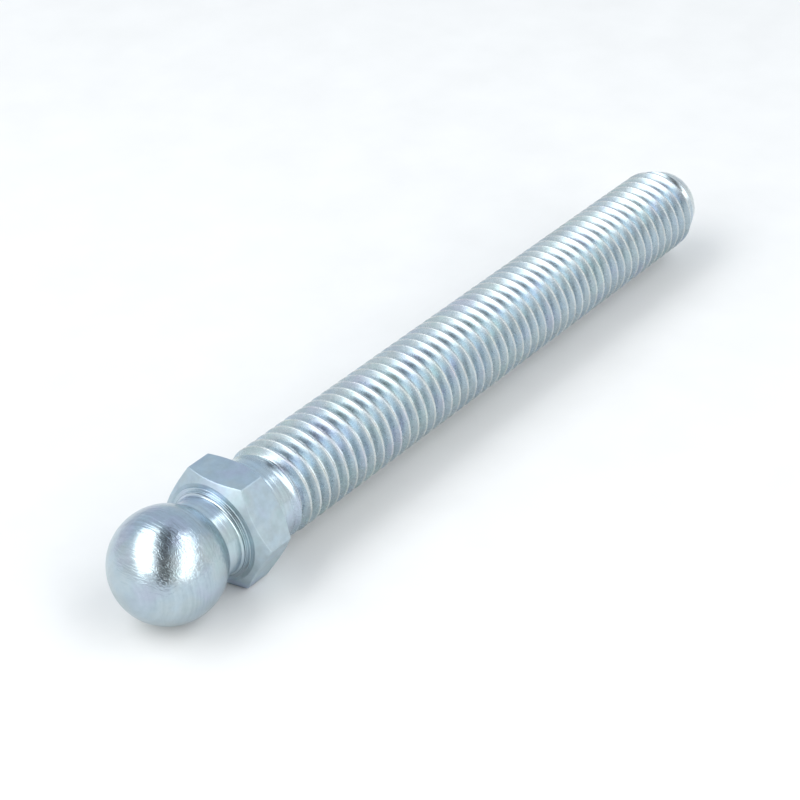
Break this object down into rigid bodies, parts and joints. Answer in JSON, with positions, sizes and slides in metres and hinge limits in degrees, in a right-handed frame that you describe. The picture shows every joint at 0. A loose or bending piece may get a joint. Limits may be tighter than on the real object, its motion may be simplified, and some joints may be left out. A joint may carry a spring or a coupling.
{
  "type": "ball-ended threaded spindle",
  "caption": "Threaded spindle with a ball end, a short neck and a wrench hexagon, turned from one bar, as used in ball joints and swivelling feet.",
  "frame": {"origin": "centre of the ball", "axes": "+X along the bar's axis from the ball towards the end of the thread, +Z out of the hexagon's upper flat, +Y to the side. The part lies on a hexagon flat and the thread's end."},
  "size_m": [0.1147, 0.0162, 0.014],
  "materials": {
    "turned_zinc": "bright zinc plating with a clear blue passivation over turned steel",
    "hexagon_zinc": "satin zinc plating with a clear blue passivation over drawn flats",
    "thread_zinc": "bright zinc plating with a clear blue passivation over a rolled thread"
  },
  "bodies": {
    "root": {"ball_head": "turned_zinc", "neck": "turned_zinc", "front_collar": "turned_zinc", "wrench_hexagon": "hexagon_zinc", "rear_collar": "turned_zinc", "plain_shank": "turned_zinc", "threaded_stem": "thread_zinc"}
  },
  "joints": []
}
